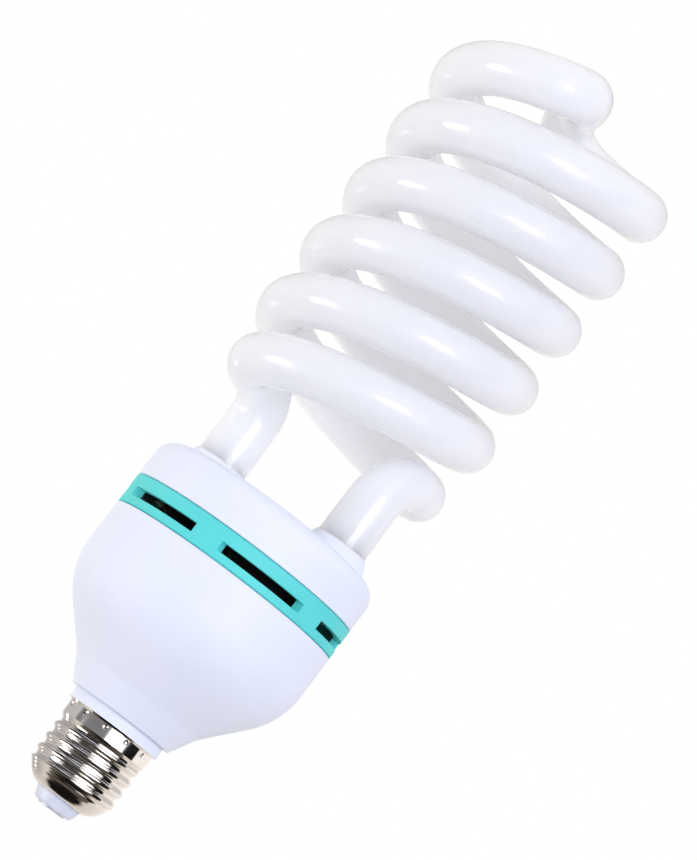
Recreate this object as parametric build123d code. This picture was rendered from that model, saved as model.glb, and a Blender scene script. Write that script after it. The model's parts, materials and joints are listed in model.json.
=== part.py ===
from build123d import *
import os
from math import asin, cos, degrees, pi, radians, sin, sqrt, tan

# A spiral compact fluorescent lamp for photo studios, standing on its screw base.
# Millimetres. The lamp's axis is Z, the face of its centre contact is z = 0, and -Y is its front.

# Screw base
cap_height = 27.2
thread_diameter = 26.2
thread_depth = 0.95
thread_pitch = 3.63
thread_flank = 45.0
thread_crest_width = 0.76
thread_round = 0.85
thread_relief = 0.05
thread_root_depth = 2.0
first_crest_height = 8.35
lead_in_height = 7.7
lead_in_slope = 36.0
skirt_diameter = 26.4
skirt_height = 4.4
skirt_taper_height = 1.5
rim_diameter = 27.3
rim_height = 0.6
stake_count = 12
stake_turn = -97.0
stake_drop = 0.9
stake_depth = 0.3
stake_round = 1.2
shell_wall = 0.5
shell_end_diameter = 15.4
shell_end_height = 3.8
shell_dome_height = 4.4
shell_dome_bulge = 0.65
insulator_end_diameter = 11.4
insulator_end_round = 1.0
insulator_neck_diameter = 13.8
insulator_flange_height = 1.5
contact_diameter = 8.4
contact_height = 0.45
contact_edge_round = 0.3
rivet_diameter = 3.2
rivet_head_overlap = 0.8
rivet_head_height = 0.8

# Lower housing
collar_diameter = 28.4
collar_height = 2.95
neck_groove_height = 0.4
neck_groove_depth = 0.35
neck_diameter = 31.6
neck_top_diameter = 40.0
neck_height = 7.4
neck_blend_radius = 10.0
body_diameter = 70.4
bowl_round = 23.6
bowl_round_height = 33.4
housing_height = 45.6
housing_wall = 2.0
spigot_length = 14.5
spigot_wall = 1.9
catch_height = 3.0

# Vent ring
ring_height = 8.95
ring_wall = 2.5
ring_flange_depth = 4.0
ring_flange_height = 1.6
slot_count = 6
slot_height = 2.75
slot_drop = 0.65
slot_outer_angle = 46.2
slot_inner_angle = 42.5
slot_turn = -77.2
seam_width = 0.5
seam_depth = 0.9

# Tube cover
cover_height = 13.1
cover_shoulder = 5.8
cover_wall = 2.0
leg_collar_height = 3.2
leg_collar_wall = 2.6
leg_collar_lip = 0.4
hook_count = 3
hook_width = 8.0
hook_thickness = 2.0
hook_nose = 1.5
hook_nose_height = 2.8
board_ledge = 1.3
board_ledge_height = 1.6
post_diameter = 4.0
post_inset = 4.4
post_turns = (56.0, 207.0, 275.0)

# Glass tube
tube_diameter = 14.8
leg_diameter = 15.0
leg_taper_height = 8.0
leg_spread = 42.7
leg_turn = 155.0
leg_depth = 10.3
leg_end_round = 2.5
leg_height = 17.2
spiral_diameter = 61.6
spiral_lead = 39.4
spiral_rise = 26.8
spiral_start_turn = 213.0
spiral_end_turn = 1146.5
bridge_rise = 7.0
bridge_turn = 275.0
exhaust_diameter = 4.0
exhaust_length = 2.4
cement_height = 4.0
cement_wall = 1.4

# Ballast
board_drop = 0.9
board_thickness = 1.6
pin_diameter = 0.8
pin_length = 1.2
capacitor_diameter = 18.0
capacitor_length = 30.0
choke_core_width = 25.0
choke_core_depth = 8.0
choke_core_height = 19.0
choke_limb = 3.5
choke_seat = 2.0
choke_former_wall = 1.0
choke_flange = 1.2
choke_flange_depth = 16.0
choke_rail_depth = 3.0
winding_inset = 0.6
toroid_diameter = 10.0
toroid_bore = 5.2
toroid_width = 4.4
toroid_wire = 0.7
toroid_turns = (-60, -30, 0, 30, 60)
transistor_width = 10.0
transistor_depth = 4.6
transistor_height = 15.5
film_width = 10.0
film_depth = 4.5
film_height = 9.0
diode_diameter = 2.7
diode_length = 5.2
resistor_diameter = 2.4
resistor_length = 6.5
drum_diameter = 8.4
drum_height = 10.0
drum_flange = 1.4
drum_waist = 4.2
fuse_diameter = 3.2
fuse_length = 9.0
fuse_cap = 2.0
thermistor_diameter = 8.0
thermistor_depth = 3.0
lead_standoff = 1.4
wire_post_diameter = 1.2
wire_post_height = 3.4
wire_post_reach = 2.0
filament_lead_diameter = 0.6
wire_diameter = 1.6
wire_bend = 4.0

# Clearances
fit = 0.1
glass_fit = 0.05
leg_hole_gap = 0.25
hook_fit = 0.25
pin_fit = 0.1

# Places on the board, seen from above
capacitor_place = (-12.5, 9.5)
choke_place = (7.0, -11.0)
transistor_places = ((-17.0, -6.0), (-15.8, -15.0))
film_places = ((21.0, 0.0, 90), (18.5, 12.0, 90), (-8.2, -15.2, 90))
toroid_place = (1.5, 9.0)
drum_place = (10.5, 7.0)
diode_places = ((-1.5, 19.5), (2.5, 19.5), (6.5, 19.5), (10.5, 19.5))
resistor_turns = (103.0, 112.0, 176.5, 185.5)
resistor_inset = 3.8
fuse_place = (4.5, 0.4)
thermistor_place = (9.0, 14.5)
phase_place = (-8.0, -5.0)
neutral_place = (-8.0, -9.0)

# Radii and levels that follow from the sizes above
thread_radius = thread_diameter / 2
root_radius = thread_radius - thread_depth
bore_radius = root_radius - shell_wall
skirt_level = cap_height - skirt_height
shell_floor = shell_end_height + shell_wall
flange_top = shell_floor + insulator_flange_height
spigot_radius = bore_radius - fit
neck_bore_radius = spigot_radius - spigot_wall
collar_top = cap_height + collar_height
neck_level = collar_top + neck_groove_height
body_radius = body_diameter / 2
housing_top = neck_level + housing_height
ring_top = housing_top + ring_height
ring_web_radius = body_radius - ring_wall
ring_inner_radius = body_radius - ring_flange_depth
cover_top = ring_top + cover_height
cover_under = cover_top - cover_wall
board_top = ring_top - board_drop
board_under = board_top - board_thickness
hook_face = sqrt((ring_inner_radius - hook_fit) ** 2 - (hook_width / 2) ** 2)
hook_inner = hook_face - hook_thickness
board_radius = hook_inner - hook_fit
post_place_radius = board_radius - post_inset
resistor_place_radius = board_radius - resistor_inset
catch_level = housing_top - catch_height
leg_radius = leg_diameter / 2
tube_radius = tube_diameter / 2
leg_end = cover_top - leg_depth
leg_bend = cover_top + leg_height
leg_hole_radius = leg_radius + leg_hole_gap
spiral_radius = spiral_diameter / 2
spiral_level = cover_top + spiral_rise
leg_centres = [
    (leg_spread / 2 * cos(radians(leg_turn + half)), leg_spread / 2 * sin(radians(leg_turn + half)))
    for half in (0, 180)
]
UP = Vector(0, 0, 1)
LOW = (Align.CENTER, Align.CENTER, Align.MIN)
HIGH = (Align.CENTER, Align.CENTER, Align.MAX)


def turned(points):
    """Solid of revolution about the lamp's axis from (radius, height) points."""
    outline = Plane.XZ * make_face(Polyline(*points, close=True))
    return revolve(outline, Axis.Z)


def turned_wall(outline, wall):
    """Thin-walled solid of revolution whose outer face follows the outline."""
    band = offset(outline, amount=wall, side=Side.LEFT)
    return revolve(Plane.XZ * make_face(band), Axis.Z)


def rod(x, y, low, high, radius):
    return Pos(x, y, low) * Cylinder(radius, high - low, align=LOW)


def pipe(path, radius):
    """Round bar along a path."""
    return sweep(Plane(origin=path @ 0, z_dir=path % 0) * Circle(radius), path=path)


def seam_grooves():
    """Fine V-grooves where the ring meets the housing and the cover."""
    cutters = []
    for level in (housing_top, ring_top):
        cutters.append(turned([
            (body_radius - seam_depth, level),
            (body_radius + seam_depth, level - seam_width),
            (body_radius + seam_depth, level + seam_width),
        ]))
    return cutters


def rolled_thread():
    """Right-hand thread with equal rounds at crest and root, which runs out at a lead-in cone."""
    root = root_radius + thread_relief
    crest_side = thread_crest_width / 2
    foot = crest_side + thread_depth / tan(radians(thread_flank))
    side = foot + crest_side
    wave = FilletPolyline(
        (root, -side),
        (root, -foot),
        (thread_radius, -crest_side),
        (thread_radius, crest_side),
        (root, foot),
        (root, side),
        radius=thread_round,
    )
    sunk = root - thread_root_depth
    section = make_face(wave + Polyline((root, side), (sunk, side), (sunk, -side), (root, -side)))
    low = first_crest_height - thread_pitch / 4
    path = Pos(0, 0, low) * Rot(0, 0, 90) * Helix(thread_pitch, skirt_level - low, root_radius)
    ridge = sweep(Plane((0, 0, low), x_dir=(0, 1, 0), z_dir=(1, 0, 0)) * section, path=path, is_frenet=True)
    run_out = tan(radians(lead_in_slope))
    return ridge & turned([
        (0, 0),
        (root_radius - lead_in_height * run_out, 0),
        (root_radius + (cap_height - lead_in_height) * run_out, cap_height),
        (0, cap_height),
    ])


def screw_shell():
    """Rolled shell: skirt with stake marks, thread and domed end around the insulator."""
    end = (shell_end_diameter / 2, shell_end_height)
    dome_top = (root_radius, shell_end_height + shell_dome_height)
    outline = SagittaArc(end, dome_top, -shell_dome_bulge) + Polyline(
        dome_top,
        (root_radius, skirt_level - skirt_taper_height),
        (skirt_diameter / 2, skirt_level),
        (skirt_diameter / 2, cap_height - rim_height),
        (rim_diameter / 2, cap_height),
        (0, cap_height),
        (0, shell_end_height),
        end,
    )
    body = revolve(Plane.XZ * make_face(outline), Axis.Z) + rolled_thread()
    hole = insulator_neck_diameter / 2 + fit
    floor = (shell_end_diameter / 2, shell_floor)
    bore_foot = (bore_radius, shell_end_height + shell_dome_height)
    hollow = SagittaArc(floor, bore_foot, -shell_dome_bulge) + Polyline(
        bore_foot,
        (bore_radius, cap_height + 1),
        (0, cap_height + 1),
        (0, 0),
        (hole, 0),
        (hole, shell_floor),
        floor,
    )
    bore = revolve(Plane.XZ * make_face(hollow), Axis.Z)
    stake_place = skirt_diameter / 2 - stake_depth + stake_round
    stake = Pos(stake_place, 0, cap_height - rim_height - stake_drop) * Sphere(stake_round)
    stakes = [Rot(0, 0, stake_turn + 360 / stake_count * n) * stake for n in range(stake_count)]
    return body - bore - stakes


def base_insulator():
    seat = shell_end_diameter / 2 - fit
    slope = (bore_radius - shell_end_diameter / 2) / (shell_dome_height - shell_wall)
    body = turned([
        (rivet_diameter / 2 + fit, contact_height),
        (insulator_end_diameter / 2, contact_height),
        (insulator_neck_diameter / 2, shell_end_height),
        (insulator_neck_diameter / 2, shell_floor),
        (seat, shell_floor),
        (seat + slope * insulator_flange_height, flange_top),
        (rivet_diameter / 2 + fit, flange_top),
    ])
    end_edges = body.edges().group_by(Axis.Z)[0]
    return fillet(end_edges.sort_by(SortBy.RADIUS)[-1], insulator_end_round)


def centre_contact():
    """Contact button with its rivet, closed over the insulator's flange."""
    radius = contact_diameter / 2
    head = rod(0, 0, 0, contact_height, radius)
    head = fillet(head.edges().group_by(Axis.Z)[0], contact_edge_round)
    shank = rod(0, 0, 0, flange_top, rivet_diameter / 2)
    closed = rod(0, 0, flange_top, flange_top + rivet_head_height, rivet_diameter / 2 + rivet_head_overlap)
    return head + shank + closed


def bowl_outline():
    """Outer line of the bowl: neck cone, blend, tangent cone, round and upright wall."""
    foot = Vector(neck_diameter / 2, neck_level)
    corner = Vector(neck_top_diameter / 2, neck_level + neck_height)
    centre = Vector(body_radius - bowl_round, neck_level + bowl_round_height)
    away = centre - corner
    reach = sqrt(away.length ** 2 - bowl_round ** 2)
    touch = corner + away.rotate(Axis.Z, -degrees(asin(bowl_round / away.length))) * (reach / away.length)
    wall_foot = Vector(body_radius, centre.Y)
    neck_and_cone = FilletPolyline(foot, corner, touch, radius=neck_blend_radius)
    bowl = TangentArc(touch, wall_foot, tangent=(touch - corner).normalized())
    return Wire([*neck_and_cone.edges(), bowl.edge(), Line(wall_foot, (body_radius, housing_top)).edge()])


def lower_housing():
    """Bowl with its collar, the spigot inside the screw shell and the rim that the hooks catch."""
    core_top = neck_level + housing_wall
    lean = (neck_top_diameter - neck_diameter) / 2 / neck_height
    core = turned([
        (neck_bore_radius, cap_height - spigot_length),
        (spigot_radius, cap_height - spigot_length),
        (spigot_radius, cap_height),
        (collar_diameter / 2, cap_height),
        (collar_diameter / 2, collar_top),
        (collar_diameter / 2 - neck_groove_depth, collar_top),
        (collar_diameter / 2 - neck_groove_depth, neck_level),
        (neck_diameter / 2, neck_level),
        (neck_diameter / 2 + lean * housing_wall, core_top),
        (neck_bore_radius, core_top),
    ])
    inside = body_radius - housing_wall
    catch = turned([
        (ring_inner_radius, catch_level),
        (inside + fit, catch_level),
        (inside + fit, housing_top),
        (ring_inner_radius, housing_top),
    ])
    housing = turned_wall(bowl_outline(), housing_wall) + core + catch
    return housing - seam_grooves()


def vent_ring():
    """Channel-shaped ring with slots whose ends lean inwards."""
    web_bottom = housing_top + ring_flange_height
    web_top = ring_top - ring_flange_height
    ring = turned([
        (ring_inner_radius, housing_top),
        (body_radius, housing_top),
        (body_radius, ring_top),
        (ring_inner_radius, ring_top),
        (ring_inner_radius, web_top),
        (ring_web_radius, web_top),
        (ring_web_radius, web_bottom),
        (ring_inner_radius, web_bottom),
    ])
    outer = Vector(body_radius, 0).rotate(Axis.Z, slot_outer_angle / 2)
    inner = Vector(ring_web_radius, 0).rotate(Axis.Z, slot_inner_angle / 2)
    lean = (outer - inner) / (outer - inner).length
    near = inner - lean * ring_wall
    far = outer + lean * ring_wall * 2
    side = ((near.X, near.Y), (far.X, far.Y))
    plan = make_face(Polyline(*side, *((x, -y) for x, y in reversed(side)), close=True))
    slot = Pos(0, 0, (housing_top + ring_top) / 2 - slot_drop) * extrude(plan, slot_height / 2, both=True)
    slots = [Rot(0, 0, slot_turn + 360 / slot_count * n) * slot for n in range(slot_count)]
    return ring - seam_grooves() - slots


def snap_hook():
    """Hook under the cover: its nose catches the housing's rim and its ledge carries the board."""
    catch = catch_level - fit
    tip = catch - hook_nose_height
    ledge = board_under - glass_fit
    profile = Polyline(
        (hook_inner, cover_under + cover_wall / 2),
        (hook_face, cover_under + cover_wall / 2),
        (hook_face, catch),
        (hook_face + hook_nose, catch),
        (hook_face, tip),
        (hook_inner, tip),
        (hook_inner, ledge - board_ledge_height),
        (hook_inner - board_ledge, ledge),
        (hook_inner, ledge),
        close=True,
    )
    return extrude(Plane.XZ * make_face(profile), hook_width / 2, both=True)


def cover_shell():
    """Round-shouldered wall and top of the cover."""
    shoulder_level = cover_top - cover_shoulder
    flat_radius = body_radius - cover_shoulder
    outline = Wire([
        Line((body_radius, ring_top), (body_radius, shoulder_level)).edge(),
        TangentArc((body_radius, shoulder_level), (flat_radius, cover_top), tangent=(0, 1)).edge(),
        Line((flat_radius, cover_top), (0, cover_top)).edge(),
    ])
    return turned_wall(outline, cover_wall)


def tube_cover():
    """Cover with two tapered leg collars, board posts and snap hooks."""
    cover = cover_shell()
    collar_foot = leg_hole_radius + leg_collar_wall
    collar_mouth = leg_hole_radius + leg_collar_lip
    collar = Cone(collar_foot, collar_mouth, cover_wall + leg_collar_height, align=LOW)
    for x, y in leg_centres:
        cover += Pos(x, y, cover_under) * collar
    for n in range(hook_count):
        turn = slot_turn + 180 / slot_count + 360 / hook_count * n
        cover += Rot(0, 0, turn) * snap_hook()
    for turn in post_turns:
        place = Vector(post_place_radius, 0).rotate(Axis.Z, turn)
        cover += rod(place.X, place.Y, board_top, cover_under + cover_wall / 2, post_diameter / 2)
    for x, y in leg_centres:
        cover -= rod(x, y, cover_under - 1, cover_top + leg_collar_height + 1, leg_hole_radius)
    return cover - seam_grooves()


def two_bends(start, heading, end, arrival):
    """Two arcs that leave the start along one heading and reach the end along another."""
    way = end - start
    both = heading + arrival
    turn = 2 * (1 - heading.dot(arrival))
    reach = (sqrt(way.dot(both) ** 2 + turn * way.dot(way)) - way.dot(both)) / turn
    first = start + heading * reach
    second = end - arrival * reach
    middle = (first + second) * 0.5
    return [
        TangentArc(start, middle, tangent=heading).edge(),
        TangentArc(middle, end, tangent=(second - first).normalized()).edge(),
    ]


def spiral_point(turn):
    place = Vector(spiral_radius, 0).rotate(Axis.Z, turn)
    return place + UP * (spiral_level + spiral_lead * (turn - 180) / 360)


def spiral_heading(turn):
    ahead = Vector(0, spiral_radius).rotate(Axis.Z, turn)
    return (ahead + UP * (spiral_lead / (2 * pi))).normalized()


def tube_half():
    """One leg, its bends into the helix, the helix and half of the S-shaped bridge on top."""
    x, y = leg_centres[0]
    helix = Helix(spiral_lead, spiral_lead * (spiral_end_turn - spiral_start_turn) / 360, spiral_radius)
    helix = Pos(0, 0, spiral_point(spiral_start_turn).Z) * Rot(0, 0, spiral_start_turn) * helix
    leg_top = Vector(x, y, leg_bend)
    helix_end = spiral_point(spiral_end_turn)
    bridge_middle = Vector(0, 0, helix_end.Z + bridge_rise)
    bridge_heading = Vector(1, 0).rotate(Axis.Z, bridge_turn)
    path = Wire([
        *two_bends(leg_top, UP, spiral_point(spiral_start_turn), spiral_heading(spiral_start_turn)),
        helix.edge(),
        *two_bends(helix_end, spiral_heading(spiral_end_turn), bridge_middle, bridge_heading),
    ])
    taper = leg_bend - leg_taper_height
    leg = rod(x, y, leg_end, taper, leg_radius)
    leg = fillet(leg.edges().group_by(Axis.Z)[0], leg_end_round)
    leg += Pos(x, y, taper) * Cone(leg_radius, tube_radius, leg_taper_height, align=LOW)
    return leg + pipe(path, tube_radius)


def spiral_tube():
    """Sealed glass tube, the same from either leg, with the sealed exhaust stub on one end."""
    half = tube_half()
    x, y = leg_centres[1]
    stub = rod(x, y, leg_end - exhaust_length, leg_end + leg_end_round, exhaust_diameter / 2)
    stub = fillet(stub.edges().group_by(Axis.Z)[0], exhaust_diameter / 4)
    return half + Rot(0, 0, 180) * half + stub


def tube_cement():
    """Bead around each leg, under the cover's top."""
    beads = []
    inner = leg_radius + glass_fit
    cone = Cone(inner + cement_wall / 3, inner + cement_wall, cement_height, align=HIGH)
    for x, y in leg_centres:
        bead = Pos(x, y, cover_under) * cone - cover_shell()
        beads.append(bead - rod(x, y, cover_under - cement_height - 1, cover_under + 1, inner))
    return Compound(children=beads)


def pinned(body, spots):
    """Component body with its legs, which pass through the board and stand out above it."""
    for x, y in spots:
        body += rod(x, y, board_under - pin_length, board_top + pin_length, pin_diameter / 2)
    return body


def spots_around(place, *offsets, turn=0):
    centre = Vector(*place)
    return [tuple(centre + Vector(*step).rotate(Axis.Z, turn))[:2] for step in offsets]


capacitor_spots = spots_around(capacitor_place, (-3.75, 0), (3.75, 0))
choke_spots = spots_around(choke_place, (-5, -6), (5, -6), (-5, 6), (5, 6))
transistor_spots = [spots_around(place, (-2.54, 0), (0, 0), (2.54, 0)) for place in transistor_places]
film_spots = [spots_around((x, y), (-3.75, 0), (3.75, 0), turn=turn) for x, y, turn in film_places]
drum_spots = spots_around(drum_place, (-2.5, 0), (2.5, 0))
diode_spots = [[place] for place in diode_places]
resistor_places = [
    tuple(Vector(resistor_place_radius, 0).rotate(Axis.Z, turn))[:2] for turn in resistor_turns
]
resistor_spots = [[place] for place in resistor_places]
fuse_spots = spots_around(fuse_place, (-fuse_length / 2 - 1.5, 0), (fuse_length / 2 + 1.5, 0))
thermistor_spots = spots_around(thermistor_place, (-2.5, 0), (2.5, 0))


def circuit_board():
    board = rod(0, 0, board_under, board_top, board_radius)
    spots = capacitor_spots + choke_spots + drum_spots + fuse_spots + thermistor_spots
    for group in transistor_spots + film_spots + diode_spots + resistor_spots:
        spots = spots + group
    holes = [rod(x, y, board_under - 1, board_top + 1, pin_diameter / 2 + pin_fit) for x, y in spots]
    return board - holes


def electrolytic_capacitor():
    """Round can with the rolled groove near its seal."""
    radius = capacitor_diameter / 2
    can = rod(*capacitor_place, board_under - capacitor_length, board_under, radius)
    can = fillet(can.edges().group_by(Axis.Z)[0], radius / 10)
    groove = Pos(*capacitor_place, board_under - radius / 3) * Torus(radius + 0.3, 0.9)
    return pinned(can - groove, capacitor_spots)


toroid_level = board_under - toroid_diameter / 2
choke_core_top = board_under - choke_seat
choke_core_bottom = choke_core_top - choke_core_height
choke_coil_top = choke_core_top - choke_limb - fit
choke_coil_bottom = choke_core_bottom + choke_limb + fit
choke_flange_width = choke_core_width - 2 * choke_limb - 2 * fit


def choke_box(width, depth, low, high):
    return Pos(*choke_place, low) * Box(width, depth, high - low, align=LOW)


def choke_core():
    """Two E-shaped ferrite halves that meet at mid-height."""
    middle = (choke_core_top + choke_core_bottom) / 2
    halves = []
    for low, high in ((choke_core_bottom, middle), (middle, choke_core_top)):
        block = choke_box(choke_core_width, choke_core_depth, low, high)
        window = (choke_core_width - 4 * choke_limb) / 2
        for side in (-1, 1):
            cut = choke_box(
                window, choke_core_depth + 2, choke_core_bottom + choke_limb, choke_core_top - choke_limb
            )
            block -= Pos(side * (choke_limb + window / 2), 0, 0) * cut
        halves.append(block)
    return Compound(children=halves)


def choke_bobbin():
    """Former on the core's middle limb, with two flanges and the rails that seat on the board."""
    hole = (2 * choke_limb + 2 * fit, choke_core_depth + 2 * fit)
    wall = 2 * choke_former_wall
    bobbin = choke_box(hole[0] + wall, hole[1] + wall, choke_coil_bottom, choke_coil_top)
    for low in (choke_coil_bottom, choke_coil_top - choke_flange):
        bobbin += choke_box(choke_flange_width, choke_flange_depth, low, low + choke_flange)
    for side in (-1, 1):
        rail = choke_box(choke_flange_width, choke_rail_depth, choke_coil_top - choke_flange, board_under)
        bobbin += Pos(0, side * (choke_flange_depth - choke_rail_depth) / 2, 0) * rail
    bobbin -= choke_box(*hole, choke_core_bottom, board_under)
    return pinned(bobbin, choke_spots)


def choke_winding():
    low = choke_coil_bottom + choke_flange
    high = choke_coil_top - choke_flange
    wall = 2 * choke_former_wall + 4 * fit
    inset = 2 * winding_inset
    coil = choke_box(choke_flange_width - inset, choke_flange_depth - inset, low, high)
    coil = fillet(coil.edges().filter_by(Axis.Z), choke_rail_depth)
    return coil - choke_box(2 * choke_limb + wall, choke_core_depth + wall, low, high)


def drive_toroid():
    """Ferrite ring that stands on edge under the board."""
    ring = Cylinder(toroid_diameter / 2, toroid_width) - Cylinder(toroid_bore / 2, toroid_width)
    return Pos(*toroid_place, toroid_level) * Rot(0, 90, 0) * ring


def toroid_winding():
    """Turns around the ring's lower part."""
    inside = toroid_bore / 2 - fit
    outside = toroid_diameter / 2 + fit
    across = toroid_width / 2 + fit
    loop = Box(outside - inside + 2 * toroid_wire, toroid_wire, 2 * across + 2 * toroid_wire)
    loop -= Box(outside - inside, toroid_wire, 2 * across)
    loop = Pos((inside + outside) / 2, 0, 0) * loop
    place = Pos(*toroid_place, toroid_level) * Rot(0, 90, 0)
    return Compound(children=[place * Rot(0, 0, turn) * loop for turn in toroid_turns])


def switching_transistors():
    """Flat-backed power transistors with a hole in the metal tab."""
    bodies = []
    for place, spots in zip(transistor_places, transistor_spots):
        tab = transistor_depth / 3
        top = board_under - lead_standoff
        body = Box(transistor_width, transistor_depth, transistor_height * 0.6, align=HIGH)
        plate = Box(transistor_width, tab, transistor_height, align=HIGH)
        body += Pos(0, (transistor_depth - tab) / 2, 0) * plate
        body = Pos(*place, top) * body
        eye = Pos(*place, top - transistor_height * 0.82) * Rot(90, 0, 0)
        body -= eye * Cylinder(transistor_width / 6, transistor_depth * 2)
        for x, y in spots:
            body += rod(x, y, top - 1, board_top + pin_length, pin_diameter / 2)
        bodies.append(body)
    return Compound(children=bodies)


def film_capacitors():
    bodies = []
    for (x, y, turn), spots in zip(film_places, film_spots):
        body = Box(film_width, film_depth, film_height, align=HIGH)
        body = fillet(body.edges(), film_depth / 10)
        bodies.append(pinned(Pos(x, y, board_under) * Rot(0, 0, turn) * body, spots))
    return Compound(children=bodies)


def upright_parts(places, diameter, length):
    """Round bodies on end, each held by its own leg."""
    bodies = []
    for x, y in places:
        top = board_under - lead_standoff
        body = rod(x, y, top - length, top, diameter / 2)
        body = fillet(body.edges(), diameter / 6)
        body += rod(x, y, top - 1, board_top + pin_length, pin_diameter / 2)
        bodies.append(body)
    return Compound(children=bodies)


def rectifier_diodes():
    return upright_parts(diode_places, diode_diameter, diode_length)


def resistors():
    return upright_parts(resistor_places, resistor_diameter, resistor_length)


def filter_choke_core():
    """Ferrite drum with a waist for its coil."""
    x, y = drum_place
    radius = drum_diameter / 2
    low = board_under - drum_height
    drum = rod(x, y, low, board_under, drum_waist / 2)
    drum += rod(x, y, low, low + drum_flange, radius)
    drum += rod(x, y, board_under - drum_flange, board_under, radius)
    return pinned(drum, drum_spots)


def filter_choke_winding():
    x, y = drum_place
    low = board_under - drum_height + drum_flange
    high = board_under - drum_flange
    coil = rod(x, y, low, high, drum_diameter / 2 - winding_inset)
    return coil - rod(x, y, low - 1, high + 1, drum_waist / 2 + fit)


def fuse():
    """Glass fuse with end caps, on two bent legs."""
    x, y = fuse_place
    level = board_under - lead_standoff - fuse_diameter / 2
    lying = Pos(x, y, level) * Rot(0, 90, 0)
    body = lying * Cylinder(fuse_diameter / 2 - fit, fuse_length)
    for side in (-1, 1):
        cap = Pos(0, 0, side * (fuse_length - fuse_cap) / 2) * Cylinder(fuse_diameter / 2, fuse_cap)
        body += lying * cap
    for spot, side in zip(fuse_spots, (-1, 1)):
        leg = FilletPolyline(
            (x + side * (fuse_length / 2 - 1), y, level),
            (spot[0], y, level),
            (spot[0], y, board_top + pin_length),
            radius=pin_diameter,
        )
        body += pipe(leg, pin_diameter / 2)
    return body


def preheat_thermistor():
    x, y = thermistor_place
    level = board_under - lead_standoff - thermistor_diameter / 2
    disc = Cylinder(thermistor_diameter / 2, thermistor_depth)
    disc = fillet(disc.edges(), thermistor_depth / 6)
    body = Pos(x, y, level) * Rot(90, 0, 0) * disc
    for spot in thermistor_spots:
        body += rod(*spot, level, board_top + pin_length, pin_diameter / 2)
    return body


def lead_spots():
    """For each tube end: where its two leads come out and the board posts that take them."""
    spots = []
    for x, y in leg_centres:
        inward = Vector(-x, -y).normalized()
        across = Vector(-inward.Y, inward.X)
        for side in (-1, 1):
            start = Vector(x, y) + across * (side * leg_radius / 2)
            post = start + inward * (leg_radius + wire_post_reach)
            spots.append((start, post, inward))
    return spots


def wire_posts():
    """Posts on the board's upper face."""
    posts = []
    for _, post, _ in lead_spots():
        posts.append(rod(post.X, post.Y, board_top, board_top + wire_post_height, wire_post_diameter / 2))
    return Compound(children=posts)


def filament_leads():
    """Leads that hang from the tube's ends and run to the posts."""
    leads = []
    radius = filament_lead_diameter / 2
    for start, post, inward in lead_spots():
        level = leg_end - 3 * filament_lead_diameter
        stop = post - inward * (wire_post_diameter / 2 + glass_fit)
        path = FilletPolyline(
            (start.X, start.Y, leg_end - glass_fit),
            (start.X, start.Y, level),
            (stop.X, stop.Y, level),
            radius=filament_lead_diameter * 1.5,
        )
        leads.append(pipe(path, radius))
    return Compound(children=leads)


def phase_wire():
    """Insulated wire from the board down the axis to the contact's rivet."""
    x, y = phase_place
    path = FilletPolyline(
        (x, y, board_under),
        (x, y, neck_level + bowl_round),
        (0, 0, neck_level + neck_height / 2),
        (0, 0, flange_top + rivet_head_height),
        radius=wire_bend,
    )
    return pipe(path, wire_diameter / 2)


def neutral_wire():
    """Insulated wire from the board, around the spigot's end to the inside of the screw shell."""
    side = Vector(*neutral_place).normalized()
    near = side * (neck_bore_radius - wire_diameter)
    shell_side = side * (bore_radius - glass_fit)
    level = cap_height - spigot_length - wire_diameter
    path = FilletPolyline(
        (*neutral_place, board_under),
        (*neutral_place, neck_level + bowl_round),
        (near.X, near.Y, neck_level + neck_height / 2),
        (near.X, near.Y, level),
        (shell_side.X, shell_side.Y, level),
        radius=wire_diameter,
    )
    return pipe(path, wire_diameter / 2)


PIECES = (
    spiral_tube,
    tube_cover,
    vent_ring,
    lower_housing,
    screw_shell,
    base_insulator,
    centre_contact,
    tube_cement,
    circuit_board,
    electrolytic_capacitor,
    choke_core,
    choke_bobbin,
    choke_winding,
    drive_toroid,
    toroid_winding,
    switching_transistors,
    film_capacitors,
    rectifier_diodes,
    resistors,
    filter_choke_core,
    filter_choke_winding,
    fuse,
    preheat_thermistor,
    wire_posts,
    filament_leads,
    phase_wire,
    neutral_wire,
)

os.makedirs("parts", exist_ok=True)
for piece in PIECES:
    export_step(piece(), f"parts/{piece.__name__}.step")
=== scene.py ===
import json
import math

import bmesh
import bpy
from mathutils import Matrix, Vector, noise


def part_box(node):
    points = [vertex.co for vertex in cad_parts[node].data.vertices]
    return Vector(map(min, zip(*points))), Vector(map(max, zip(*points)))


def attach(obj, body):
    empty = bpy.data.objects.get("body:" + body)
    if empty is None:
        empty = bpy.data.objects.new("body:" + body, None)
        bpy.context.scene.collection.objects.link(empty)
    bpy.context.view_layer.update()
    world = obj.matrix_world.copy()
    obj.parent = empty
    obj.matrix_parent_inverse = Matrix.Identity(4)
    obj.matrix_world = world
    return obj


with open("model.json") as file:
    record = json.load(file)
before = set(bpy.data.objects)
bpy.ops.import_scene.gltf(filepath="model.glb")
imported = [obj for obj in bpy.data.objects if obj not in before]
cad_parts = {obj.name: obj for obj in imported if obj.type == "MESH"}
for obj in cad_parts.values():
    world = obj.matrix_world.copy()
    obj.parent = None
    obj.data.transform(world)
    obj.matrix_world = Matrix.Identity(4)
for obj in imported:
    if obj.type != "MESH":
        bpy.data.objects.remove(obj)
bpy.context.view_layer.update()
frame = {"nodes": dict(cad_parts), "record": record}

# The lamp stands on its contact, with its axis along Z and its front towards -Y.
# Lengths are metres; MM turns millimetres into them.
MM = 0.001

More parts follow.
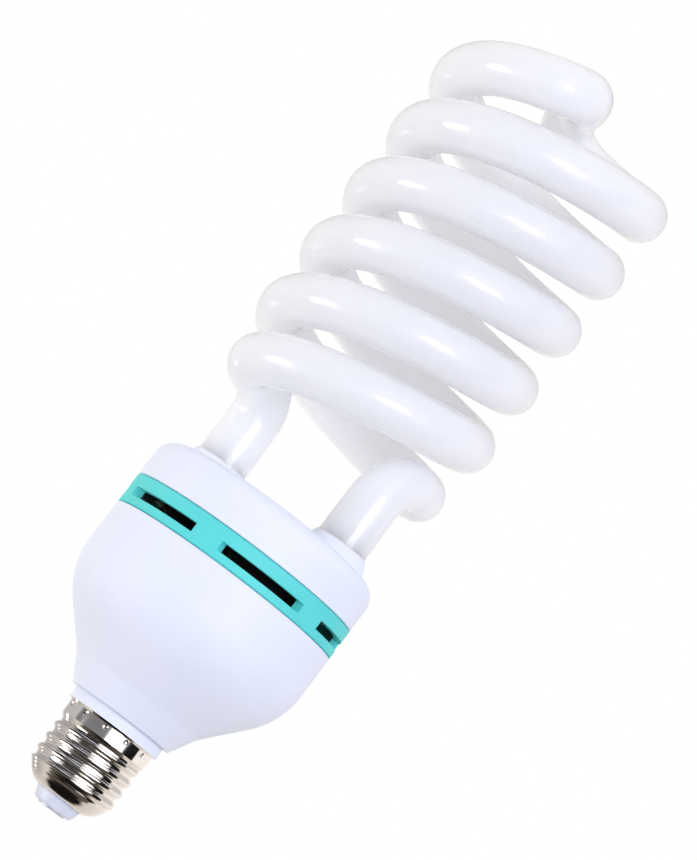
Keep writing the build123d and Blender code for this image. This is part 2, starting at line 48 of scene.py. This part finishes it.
# Camera: low, looking a little up, and turned so that the lamp leans to the right in the picture
CAMERA_PLACE = Vector((0.0, -1.08168, -0.01162))
CAMERA_PITCH = math.radians(7.389)
CAMERA_YAW = math.radians(0.134)
CAMERA_ROLL = math.radians(36.997)
CAMERA_LENS = 170.13

# Stage; the floor fades out between two shares of its radius
FLOOR_LEVEL = -90 * MM
FLOOR_RADIUS = 2.5
FLOOR_FADE = (0.2, 0.9)
FLOOR_SEGMENTS = 96
BACKDROP_RADIUS = 8.0
ROOM_RADIUS = 4.0
SPHERE_SEGMENTS = 48
SPHERE_RINGS = 24

# Surroundings: they brighten from the far end of the bright side's axis up to WORLD_REACH along it
PALE_LIGHT = "#fbfaf9"
BRIGHT_SIDE = Vector((-0.25, 0.42, 0.08)).normalized()
WORLD_RANGE = (0.32, 1.12)
WORLD_REACH = 0.5

# Soft boxes: name, turn, rise, width and height in degrees as the lamp sees them, and watts
LIGHT_AIM = Vector((0.0, 0.0, 130 * MM))
LIGHT_DISTANCE = 1.2
DAYLIGHT = "#e2e6ff"
SOFT_BOXES = (
    ("soft_box_right", 24.5, 8, 36, 39, 9.8),
    ("soft_box_left", -72, -22, 30, 31, 2.1),
)

# Cards: name, turn, rise, width and height in degrees, strength and distance.
# Small hot ones give the glass its highlights. Wide dim ones behind them give the nickel its white
# columns.
METAL_CARD_DISTANCE = 2.0
CARD_SEGMENTS = 64
CARDS = (
    ("right_highlight", 24.5, 7.5, 31, 22, 9.0, LIGHT_DISTANCE),
    ("left_highlight", -72, -23, 25, 19, 9.0, LIGHT_DISTANCE),
    ("far_left_highlight", -137, -27, 12, 12, 1.6, LIGHT_DISTANCE),
    ("right_metal_card", 27, 15, 60, 70, 1.2, METAL_CARD_DISTANCE),
    ("left_metal_card", -66, -24, 38, 44, 1.2, METAL_CARD_DISTANCE),
)

# Shades of the mirrored room, each from its floor at 0 to its ceiling at 1
FRONT_SHADES = (
    (0.00, "#0a0806"), (0.05, "#14110d"), (0.07, "#5d554d"), (0.22, "#4f4842"), (0.36, "#26221f"),
    (0.49, "#7e7e80"), (0.56, "#7a7a7c"), (0.68, "#1e1e20"), (0.90, "#222224"), (1.00, "#c2c0bc"),
)
BACK_SHADES = (
    (0.00, "#0a0806"), (0.06, "#120f0c"), (0.10, "#d6cdc4"), (0.50, "#fdf7f3"), (0.58, "#f9f3ef"),
    (0.68, "#d2cecb"), (1.00, "#c2c0bc"),
)

# The room is greyer at its back left and dark at its front right. The spans over which this sets in,
# and the blend between front and back, are shares of its radius.
BEHIND_SHADE = "#c4c5c8"
SHADED_SIDE = Vector((-0.82, 0.57, 0.0)) / ROOM_RADIUS
SHADED_SPAN = (0.65, 0.85)
DUSK_SHADE = "#0c0b0d"
DUSK_SPAN = (0.70, 0.82)
WALL_BLEND = 0.02

# Glass legs and the cement around them
LEG_RADIUS = 7.5 * MM
LEG_SPREAD = 42.7 * MM
LEG_TURN = math.radians(155.0)
COLLAR_MOUTH = 7.75 * MM
BEAD_THICKNESS = 0.45 * MM
BEAD_LUMP = 0.16 * MM
BEAD_LUMP_SIZE = 3.0 * MM
BEAD_SIDES = 12
BEAD_STEPS = 72
MERGE_DISTANCE = 0.01 * MM

# Length of one band of a Wave texture at a scale of 1
WAVE_SPAN = math.pi / 10

# Painted shade behind the slots: inner faces near this level and inside this radius are painted
# near-black
SLOT_LEVEL = 81.0 * MM
SLOT_REACH = 6.0 * MM
INSIDE_RADIUS = 31.5 * MM
PAINTED_SHADE_BEHIND_SLOTS = "#0b0b0c"

# Lower edge of the cap's smooth skirt, and the strength of the rolling lines below it
SKIRT_FOOT = 22.8 * MM
SKIRT_BLEND = 0.5 * MM
ROLLING = 0.35

# How far light spreads in the milky tube
POWDER_DEPTH = 30.0 * MM


def linear(code):
    """Linear colour of an sRGB hex code."""
    parts = [int(code[i:i + 2], 16) / 255 for i in (1, 3, 5)]
    return (*(p / 12.92 if p <= 0.04045 else ((p + 0.055) / 1.055) ** 2.4 for p in parts), 1.0)


def per(size):
    """Texture scale for a pattern of that size in millimetres."""
    return 1.0 / (size * MM)


def add(tree, kind, links, **settings):
    """Adds a node; links maps each socket to a value or to another node's output."""
    made = tree.nodes.new(kind)
    for name, value in settings.items():
        setattr(made, name, value)
    for socket, value in links.items():
        if isinstance(value, bpy.types.NodeSocket):
            tree.links.new(value, made.inputs[socket])
        else:
            made.inputs[socket].default_value = value
    return made


def blank(name):
    """New material: gives it, its empty tree and the Object coordinates that its patterns read."""
    material = bpy.data.materials.new(name)
    material.use_nodes = True
    tree = material.node_tree
    tree.nodes.clear()
    return material, tree, add(tree, "ShaderNodeTexCoord", {}).outputs["Object"]


def cover(tree, kind, links):
    """Gives the tree its shader and its output."""
    shader = add(tree, kind, links)
    add(tree, "ShaderNodeOutputMaterial", {"Surface": shader.outputs[0]})


def phosphor_coated_glass():
    # Drawn glass tube with white powder on its inside: a clear, mirror-smooth wall over a soft, even,
    # faintly cloudy white that lets light through.
    material, tree, place = blank("phosphor_coated_drawn_glass")
    cloud = add(tree, "ShaderNodeTexNoise", {"Vector": place, "Scale": per(13), "Detail": 3.0})
    powder = add(tree, "ShaderNodeTexNoise", {"Vector": place, "Scale": per(0.9), "Detail": 2.0})
    both = add(tree, "ShaderNodeMix", {0: 0.25, 2: cloud.outputs["Fac"], 3: powder.outputs["Fac"]})
    white = {0: both.outputs[0], 6: linear("#f7f7fb"), 7: linear("#fefeff")}
    colour = add(tree, "ShaderNodeMix", white, data_type="RGBA")
    ripple = add(tree, "ShaderNodeTexNoise", {"Vector": place, "Scale": per(9), "Detail": 1.0})
    drawn = {"Height": ripple.outputs["Fac"], "Strength": 0.35, "Distance": 0.25 * MM}
    wall = add(tree, "ShaderNodeBump", drawn)
    cover(tree, "ShaderNodeBsdfPrincipled", {
        "Base Color": colour.outputs[2],
        "Roughness": 0.8,
        "Specular IOR Level": 0.0,
        "Coat Weight": 1.0,
        "Coat Roughness": 0.01,
        "Coat IOR": 1.42,
        "Coat Normal": wall.outputs["Normal"],
        "Subsurface Weight": 1.0,
        "Subsurface Radius": (1.0, 1.0, 1.0),
        "Subsurface Scale": POWDER_DEPTH,
    })
    return material


def moulded_plastic(name, first, second):
    # Injection-moulded polyester: satin, with faint flow clouds and the fine spark-eroded grain of its
    # mould, drawn at twice its real size so that it shows. Behind the slots it carries painted shade.
    material, tree, place = blank(name)
    clouds = {"Vector": place, "Scale": per(22), "Detail": 2.0, "Distortion": 0.6}
    flow = add(tree, "ShaderNodeTexNoise", clouds)
    tint = {0: flow.outputs["Fac"], 6: linear(first), 7: linear(second)}
    clean = add(tree, "ShaderNodeMix", tint, data_type="RGBA")
    # Painted shade: inner faces near the slots' level and inside INSIDE_RADIUS turn near-black,
    # standing in for the shade behind the slots
    level = add(tree, "ShaderNodeSeparateXYZ", {"Vector": place}).outputs["Z"]
    beside = {0: level, 1: SLOT_LEVEL, 2: SLOT_REACH}
    behind = add(tree, "ShaderNodeMath", beside, operation="COMPARE")
    flat = add(tree, "ShaderNodeVectorMath", {0: place, 1: (1.0, 1.0, 0.0)}, operation="MULTIPLY")
    radius = add(tree, "ShaderNodeVectorMath", {0: flat.outputs["Vector"]}, operation="LENGTH")
    within = {0: radius.outputs["Value"], 1: INSIDE_RADIUS}
    inner = add(tree, "ShaderNodeMath", within, operation="LESS_THAN")
    both = {0: behind.outputs["Value"], 1: inner.outputs["Value"]}
    painted_shade_mask = add(tree, "ShaderNodeMath", both, operation="MULTIPLY")
    painted_shade_mix = {0: painted_shade_mask.outputs["Value"], 6: clean.outputs[2], 7: linear(PAINTED_SHADE_BEHIND_SLOTS)}
    colour = add(tree, "ShaderNodeMix", painted_shade_mix, data_type="RGBA")
    grain = add(tree, "ShaderNodeTexNoise", {"Vector": place, "Scale": per(0.5), "Detail": 2.0})
    satin = add(tree, "ShaderNodeMix", {0: grain.outputs["Fac"], 2: 0.46, 3: 0.70})
    pits = {"Height": grain.outputs["Fac"], "Strength": 0.12, "Distance": 0.03 * MM}
    relief = add(tree, "ShaderNodeBump", pits)
    cover(tree, "ShaderNodeBsdfPrincipled", {
        "Base Color": colour.outputs[2],
        "Roughness": satin.outputs[0],
        "IOR": 1.53,
        "Specular IOR Level": 0.25,
        "Normal": relief.outputs["Normal"],
    })
    return material


def bright_nickel():
    # Bright nickel on rolled brass: a mirror with fine rolling lines around the thread and a few dull,
    # warmer patches.
    material, tree, place = blank("bright_nickel_on_rolled_brass")
    dull = {"Vector": place, "Scale": per(4), "Detail": 4.0, "Distortion": 0.8}
    patch = add(tree, "ShaderNodeTexNoise", dull)
    tint = {0: patch.outputs["Fac"], 6: linear("#fdfbf9"), 7: linear("#efe9e3")}
    colour = add(tree, "ShaderNodeMix", tint, data_type="RGBA")
    polish = add(tree, "ShaderNodeMix", {0: patch.outputs["Fac"], 2: 0.03, 3: 0.19})
    rolling = {"Vector": place, "Scale": per(0.8) * WAVE_SPAN, "Distortion": 1.0, "Detail": 2.0}
    line = add(tree, "ShaderNodeTexWave", rolling, wave_type="BANDS", bands_direction="Z")
    level = add(tree, "ShaderNodeSeparateXYZ", {"Vector": place}).outputs["Z"]
    depth = add(tree, "ShaderNodeMapRange", {
        "Value": level,
        "From Min": SKIRT_FOOT,
        "From Max": SKIRT_FOOT - SKIRT_BLEND,
        "To Max": ROLLING,
    })
    roll = add(tree, "ShaderNodeBump", {
        "Height": line.outputs["Fac"],
        "Strength": depth.outputs["Result"],
        "Distance": 0.04 * MM,
    })
    cover(tree, "ShaderNodeBsdfPrincipled", {
        "Base Color": colour.outputs[2],
        "Metallic": 1.0,
        "Roughness": polish.outputs[0],
        "Normal": roll.outputs["Normal"],
    })
    return material


def tinned_metal(name, first, second, metallic):
    # Tin on brass or copper: a soft bright grey with cloudy crystals, duller where it has oxidised.
    material, tree, place = blank(name)
    crystal = add(tree, "ShaderNodeTexVoronoi", {"Vector": place, "Scale": per(0.9)})
    tint = {0: crystal.outputs["Distance"], 6: linear(first), 7: linear(second)}
    colour = add(tree, "ShaderNodeMix", tint, data_type="RGBA")
    polish = add(tree, "ShaderNodeMix", {0: crystal.outputs["Distance"], 2: 0.26, 3: 0.46})
    cover(tree, "ShaderNodeBsdfPrincipled", {
        "Base Color": colour.outputs[2],
        "Metallic": metallic,
        "Roughness": polish.outputs[0],
    })
    return material


def pressed_insulator():
    # Pressed white thermoset: smooth and bluish white, faintly clouded.
    material, tree, place = blank("white_pressed_thermoset")
    cloud = add(tree, "ShaderNodeTexNoise", {"Vector": place, "Scale": per(3.5), "Detail": 3.0})
    tint = {0: cloud.outputs["Fac"], 6: linear("#d9deed"), 7: linear("#edf0f9")}
    colour = add(tree, "ShaderNodeMix", tint, data_type="RGBA")
    polish = add(tree, "ShaderNodeMix", {0: cloud.outputs["Fac"], 2: 0.24, 3: 0.48})
    cover(tree, "ShaderNodeBsdfPrincipled", {
        "Base Color": colour.outputs[2],
        "Roughness": polish.outputs[0],
        "IOR": 1.55,
    })
    return material


def cured_silicone():
    # White silicone cement: matte, lumpy where it was laid by nozzle.
    material, tree, place = blank("white_cured_silicone")
    lump = add(tree, "ShaderNodeTexNoise", {"Vector": place, "Scale": per(1.6), "Detail": 3.0})
    tint = {0: lump.outputs["Fac"], 6: linear("#d4d5d9"), 7: linear("#f3f4f6")}
    colour = add(tree, "ShaderNodeMix", tint, data_type="RGBA")
    laid = {"Height": lump.outputs["Fac"], "Strength": 0.4, "Distance": 0.2 * MM}
    relief = add(tree, "ShaderNodeBump", laid)
    cover(tree, "ShaderNodeBsdfPrincipled", {
        "Base Color": colour.outputs[2],
        "Roughness": 0.62,
        "IOR": 1.41,
        "Normal": relief.outputs["Normal"],
    })
    return material


def paper_laminate():
    # Phenolic paper board: dark brown with fibres that run one way.
    material, tree, place = blank("phenolic_paper_laminate")
    along = add(tree, "ShaderNodeMapping", {"Vector": place, "Scale": (0.15, 1.0, 1.0)})
    paper = {"Vector": along.outputs["Vector"], "Scale": per(0.5), "Detail": 4.0}
    fibre = add(tree, "ShaderNodeTexNoise", paper)
    tint = {0: fibre.outputs["Fac"], 6: linear("#1c0f06"), 7: linear("#4a2f19")}
    colour = add(tree, "ShaderNodeMix", tint, data_type="RGBA")
    cover(tree, "ShaderNodeBsdfPrincipled", {"Base Color": colour.outputs[2], "Roughness": 0.55})
    return material


def grained(name, first, second, size, roughness):
    # Sintered ferrite, moulded epoxy, shrink sleeve or dipped lacquer: an even body with grains of its
    # own size.
    material, tree, place = blank(name)
    grain = add(tree, "ShaderNodeTexNoise", {"Vector": place, "Scale": per(size), "Detail": 3.0})
    tint = {0: grain.outputs["Fac"], 6: linear(first), 7: linear(second)}
    colour = add(tree, "ShaderNodeMix", tint, data_type="RGBA")
    polish = {0: grain.outputs["Fac"], 2: roughness - 0.1, 3: roughness + 0.1}
    cover(tree, "ShaderNodeBsdfPrincipled", {
        "Base Color": colour.outputs[2],
        "Roughness": add(tree, "ShaderNodeMix", polish).outputs[0],
        "Specular IOR Level": 0.2,
    })
    return material


def enamelled_copper():
    # Lacquered copper wire, wound in layers: glossy brown-orange with a line at each turn.
    material, tree, place = blank("enamelled_copper_wire")
    winding = {"Vector": place, "Scale": per(0.5) * WAVE_SPAN, "Distortion": 0.4}
    turn = add(tree, "ShaderNodeTexWave", winding, wave_type="BANDS", bands_direction="Z")
    tint = {0: turn.outputs["Fac"], 6: linear("#5a2a12"), 7: linear("#b8622e")}
    colour = add(tree, "ShaderNodeMix", tint, data_type="RGBA")
    layer = {"Height": turn.outputs["Fac"], "Strength": 0.6, "Distance": 0.15 * MM}
    relief = add(tree, "ShaderNodeBump", layer)
    cover(tree, "ShaderNodeBsdfPrincipled", {
        "Base Color": colour.outputs[2],
        "Metallic": 0.85,
        "Roughness": 0.28,
        "Normal": relief.outputs["Normal"],
    })
    return material


FINISHES = {
    "phosphor_glass": phosphor_coated_glass(),
    "white_plastic": moulded_plastic("white_moulded_polyester_satin", "#eaeefa", "#f3f6ff"),
    "teal_plastic": moulded_plastic("teal_moulded_polyester_satin", "#54d7d4", "#66e7e1"),
    "nickel_plate": bright_nickel(),
    "white_insulator": pressed_insulator(),
    "contact_metal": tinned_metal("dull_tinned_brass_contact", "#d3d6de", "#eef0f4", 0.4),
    "silicone": cured_silicone(),
    "board_laminate": paper_laminate(),
    "can_sleeve": grained("black_shrink_sleeve", "#09090b", "#15151a", 3.0, 0.28),
    "ferrite": grained("sintered_ferrite", "#0e0e10", "#2a2a2e", 0.6, 0.65),
    "bobbin_plastic": grained("black_glass_filled_nylon", "#0a0a0a", "#141414", 0.8, 0.52),
    "enamelled_copper": enamelled_copper(),
    "black_epoxy": grained("black_moulded_epoxy", "#070707", "#111112", 0.4, 0.6),
    "film_case": grained("brown_dipped_lacquer", "#45150a", "#6d2a1d", 1.5, 0.24),
    "resistor_body": grained("tan_dipped_lacquer", "#86693f", "#b0946a", 0.8, 0.42),
    "fuse_body": grained("ceramic_fuse_body", "#9f9b8e", "#c5c1b5", 0.7, 0.48),
    "thermistor_body": grained("green_dipped_lacquer", "#132c24", "#264d3f", 0.9, 0.42),
    "tinned_wire": tinned_metal("tinned_copper_wire", "#b9b6b0", "#d6d3cd", 1.0),
    "red_sleeve": grained("red_wire_sleeve", "#550707", "#7c1616", 1.0, 0.48),
    "black_sleeve": grained("black_wire_sleeve", "#080808", "#181818", 1.0, 0.48),
}

for subpart in frame["record"]["subparts"]:
    mesh = frame["nodes"][subpart["node"]].data
    mesh.materials.clear()
    mesh.materials.append(FINISHES[subpart["material_slot"]])


def mesh_object(name, form, material):
    """Object at the origin that takes its mesh from a bmesh."""
    mesh = bpy.data.meshes.new(name)
    form.to_mesh(mesh)
    form.free()
    mesh.materials.append(material)
    made = bpy.data.objects.new(name, mesh)
    bpy.context.scene.collection.objects.link(made)
    return made


def leg_cement_beads():
    """Thin bead of cement in each collar's mouth, around the glass leg."""
    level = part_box("tube_cover")[1].z
    middle = (LEG_RADIUS + COLLAR_MOUTH) / 2
    form = bmesh.new()
    upright = Matrix.Rotation(math.pi / 2, 3, "X")
    for turn in (LEG_TURN, LEG_TURN + math.pi):
        place = Vector((math.cos(turn), math.sin(turn), 0.0)) * (LEG_SPREAD / 2)
        ring = bmesh.ops.create_circle(form, radius=BEAD_THICKNESS, segments=BEAD_SIDES)["verts"]
        bmesh.ops.rotate(form, verts=ring, cent=(0, 0, 0), matrix=upright)
        bmesh.ops.translate(form, verts=ring, vec=place + Vector((middle, 0.0, level)))
        edges = list({edge for vert in ring for edge in vert.link_edges})
        bmesh.ops.spin(
            form, geom=ring + edges, cent=place, axis=(0, 0, 1),
            angle=2 * math.pi, steps=BEAD_STEPS, use_merge=True,
        )
    bmesh.ops.remove_doubles(form, verts=form.verts, dist=MERGE_DISTANCE)
    for vert in form.verts:
        vert.co.z += BEAD_LUMP * noise.noise(vert.co / BEAD_LUMP_SIZE)
    bmesh.ops.recalc_face_normals(form, faces=form.faces)
    for face in form.faces:
        face.smooth = True
    beads = mesh_object("leg_cement_beads", form, FINISHES["silicone"])
    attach(beads, "root")


leg_cement_beads()


def white_paper():
    # Matte paper sweep: pale, with a faint mottle, and thinning out into the lit backdrop.
    material, tree, place = blank("matte_white_paper")
    mottle = add(tree, "ShaderNodeTexNoise", {"Vector": place, "Scale": per(60), "Detail": 3.0})
    tint = {0: mottle.outputs["Fac"], 6: linear("#e6e6e8"), 7: linear("#efeff0")}
    colour = add(tree, "ShaderNodeMix", tint, data_type="RGBA")
    paper = add(tree, "ShaderNodeBsdfDiffuse", {"Color": colour.outputs[2]})
    clear = add(tree, "ShaderNodeBsdfTransparent", {})
    radius = add(tree, "ShaderNodeVectorMath", {0: place}, operation="LENGTH")
    near, far = (share * FLOOR_RADIUS for share in FLOOR_FADE)
    rim = {"Value": radius.outputs["Value"], "From Min": near, "From Max": far}
    fade = add(tree, "ShaderNodeMapRange", rim, interpolation_type="SMOOTHSTEP")
    cover(tree, "ShaderNodeMixShader", {
        0: fade.outputs["Result"],
        1: paper.outputs[0],
        2: clear.outputs[0],
    })
    return material


def lit_backdrop():
    # White paper that is lit until it shows no tone.
    material, tree, _ = blank("lit_white_backdrop")
    cover(tree, "ShaderNodeEmission", {"Color": linear("#ffffff")})
    return material


def mirrored_room():
    # What metal and glass mirror: a dim room in front, pale walls behind and a dark floor.
    material, tree, place = blank("mirrored_room")
    part = add(tree, "ShaderNodeSeparateXYZ", {"Vector": place})
    height = {"Value": part.outputs["Z"], "From Min": -ROOM_RADIUS, "From Max": ROOM_RADIUS}
    rise = add(tree, "ShaderNodeMapRange", height)
    shades = []
    for stops in (FRONT_SHADES, BACK_SHADES):
        ramp = add(tree, "ShaderNodeValToRGB", {"Fac": rise.outputs["Result"]})
        for _ in stops[2:]:
            ramp.color_ramp.elements.new(0.5)
        for element, (level, code) in zip(ramp.color_ramp.elements, stops):
            element.position = level
            element.color = linear(code)
        shades.append(ramp.outputs["Color"])
    side = add(tree, "ShaderNodeVectorMath", {0: place, 1: SHADED_SIDE}, operation="DOT_PRODUCT")
    near, far = SHADED_SPAN
    span = {"Value": side.outputs["Value"], "From Min": near, "From Max": far}
    grey = add(tree, "ShaderNodeMapRange", span)
    dimmed = {0: grey.outputs["Result"], 6: linear("#ffffff"), 7: linear(BEHIND_SHADE)}
    dim = add(tree, "ShaderNodeMix", dimmed, data_type="RGBA")
    shaded = {0: 1.0, 6: shades[1], 7: dim.outputs[2]}
    back = add(tree, "ShaderNodeMix", shaded, data_type="RGBA", blend_type="MULTIPLY")
    blend = WALL_BLEND * ROOM_RADIUS
    split = {"Value": part.outputs["Y"], "From Min": -blend, "From Max": blend}
    behind = add(tree, "ShaderNodeMapRange", split)
    near, far = (share * ROOM_RADIUS for share in DUSK_SPAN)
    reach = {"Value": part.outputs["X"], "From Min": near, "From Max": far}
    dusk = add(tree, "ShaderNodeMapRange", reach)
    darkened = {0: dusk.outputs["Result"], 6: shades[0], 7: linear(DUSK_SHADE)}
    front = add(tree, "ShaderNodeMix", darkened, data_type="RGBA")
    walls = {0: behind.outputs["Result"], 6: front.outputs[2], 7: back.outputs[2]}
    colour = add(tree, "ShaderNodeMix", walls, data_type="RGBA")
    cover(tree, "ShaderNodeEmission", {"Color": colour.outputs[2]})
    return material


def seen_only(piece, by):
    """Leaves a piece of the stage to one kind of ray."""
    for ray in ("camera", "diffuse", "glossy", "transmission", "volume_scatter", "shadow"):
        setattr(piece, "visible_" + ray, ray == by)


def stage():
    """Pale floor, white backdrop and the room that shiny pieces mirror; gives the floor."""
    sphere = {"u_segments": SPHERE_SEGMENTS, "v_segments": SPHERE_RINGS}
    form = bmesh.new()
    bmesh.ops.create_circle(form, cap_ends=True, radius=FLOOR_RADIUS, segments=FLOOR_SEGMENTS)
    bmesh.ops.translate(form, verts=form.verts, vec=(0, 0, FLOOR_LEVEL))
    floor = mesh_object("floor", form, white_paper())
    seen_only(floor, "camera")

    form = bmesh.new()
    bmesh.ops.create_uvsphere(form, radius=BACKDROP_RADIUS, **sphere)
    backdrop = mesh_object("backdrop", form, lit_backdrop())
    seen_only(backdrop, "camera")

    form = bmesh.new()
    bmesh.ops.create_uvsphere(form, radius=ROOM_RADIUS, **sphere)
    room = mesh_object("mirrored_room", form, mirrored_room())
    seen_only(room, "glossy")
    return floor


def towards(turn, rise):
    """Direction from the lamp, by its turn to the right of the camera and its rise, in degrees."""
    turn = math.radians(turn)
    rise = math.radians(rise)
    level = math.cos(rise)
    return Vector((math.sin(turn) * level, -math.cos(turn) * level, math.sin(rise)))


def across(angle, distance):
    """Width of a light that fills that angle, in degrees, as the lamp sees it."""
    return 2 * distance * math.tan(math.radians(angle / 2))


def softbox(name, turn, rise, width, height, power, unlit):
    """Area light for the lamp alone: it leaves out the unlit pieces, and no shiny piece mirrors it."""
    light = bpy.data.lights.new(name, "AREA")
    light.shape = "RECTANGLE"
    light.size = across(width, LIGHT_DISTANCE)
    light.size_y = across(height, LIGHT_DISTANCE)
    light.energy = power
    light.color = linear(DAYLIGHT)[:3]
    lamp = bpy.data.objects.new(name, light)
    lamp.location = LIGHT_AIM + towards(turn, rise) * LIGHT_DISTANCE
    lamp.rotation_euler = towards(turn, rise).to_track_quat("Z", "Y").to_euler()
    lamp.visible_camera = False
    lamp.visible_glossy = False
    lamp.light_linking.receiver_collection = unlit
    bpy.context.scene.collection.objects.link(lamp)


def card(name, turn, rise, width, height, strength, distance):
    """Oval white card that shiny pieces mirror."""
    material, tree, _ = blank(name)
    cover(tree, "ShaderNodeEmission", {"Color": linear("#ffffff"), "Strength": strength})
    form = bmesh.new()
    bmesh.ops.create_circle(form, cap_ends=True, radius=0.5, segments=CARD_SEGMENTS)
    size = Vector((across(width, distance), across(height, distance), 1.0))
    bmesh.ops.scale(form, verts=form.verts, vec=size)
    facing = towards(turn, rise).to_track_quat("Z", "Y").to_matrix()
    bmesh.ops.rotate(form, verts=form.verts, cent=(0, 0, 0), matrix=facing)
    bmesh.ops.translate(form, verts=form.verts, vec=LIGHT_AIM + towards(turn, rise) * distance)
    made = mesh_object(name, form, material)
    seen_only(made, "glossy")


def lighting(floor):
    """Pale surroundings, the soft boxes and the cards that shiny pieces mirror."""
    unlit = bpy.data.collections.new("not_lit_by_soft_boxes")
    unlit.objects.link(floor)
    unlit.collection_objects[0].light_linking.link_state = "EXCLUDE"
    world = bpy.data.worlds.new("pale_studio")
    world.use_nodes = True
    tree = world.node_tree
    place = add(tree, "ShaderNodeTexCoord", {}).outputs["Generated"]
    side = add(tree, "ShaderNodeVectorMath", {0: place, 1: BRIGHT_SIDE}, operation="DOT_PRODUCT")
    low, high = WORLD_RANGE
    strength = add(tree, "ShaderNodeMapRange", {
        "Value": side.outputs["Value"],
        "From Min": -1.0,
        "From Max": WORLD_REACH,
        "To Min": low,
        "To Max": high,
    })
    tree.links.new(strength.outputs["Result"], tree.nodes["Background"].inputs["Strength"])
    tree.nodes["Background"].inputs["Color"].default_value = linear(PALE_LIGHT)
    bpy.context.scene.world = world
    for box in SOFT_BOXES:
        softbox(*box, unlit)
    for values in CARDS:
        card(*values)


def camera():
    """Camera at the photo's place and angle."""
    ahead = Vector((
        math.sin(CAMERA_YAW) * math.cos(CAMERA_PITCH),
        math.cos(CAMERA_YAW) * math.cos(CAMERA_PITCH),
        math.sin(CAMERA_PITCH),
    ))
    right = Vector((math.cos(CAMERA_YAW), -math.sin(CAMERA_YAW), 0.0))
    up = right.cross(ahead)
    sideward = right * math.cos(CAMERA_ROLL) + up * math.sin(CAMERA_ROLL)
    upward = up * math.cos(CAMERA_ROLL) - right * math.sin(CAMERA_ROLL)
    data = bpy.data.cameras.new("camera")
    data.lens = CAMERA_LENS
    data.clip_start = 0.05
    data.clip_end = 50.0
    made = bpy.data.objects.new("camera", data)
    turn = Matrix((sideward, upward, -ahead)).transposed().to_4x4()
    made.matrix_world = Matrix.Translation(CAMERA_PLACE) @ turn
    bpy.context.scene.collection.objects.link(made)
    bpy.context.scene.camera = made


lighting(stage())
camera()
bpy.context.scene.view_settings.view_transform = "Standard"
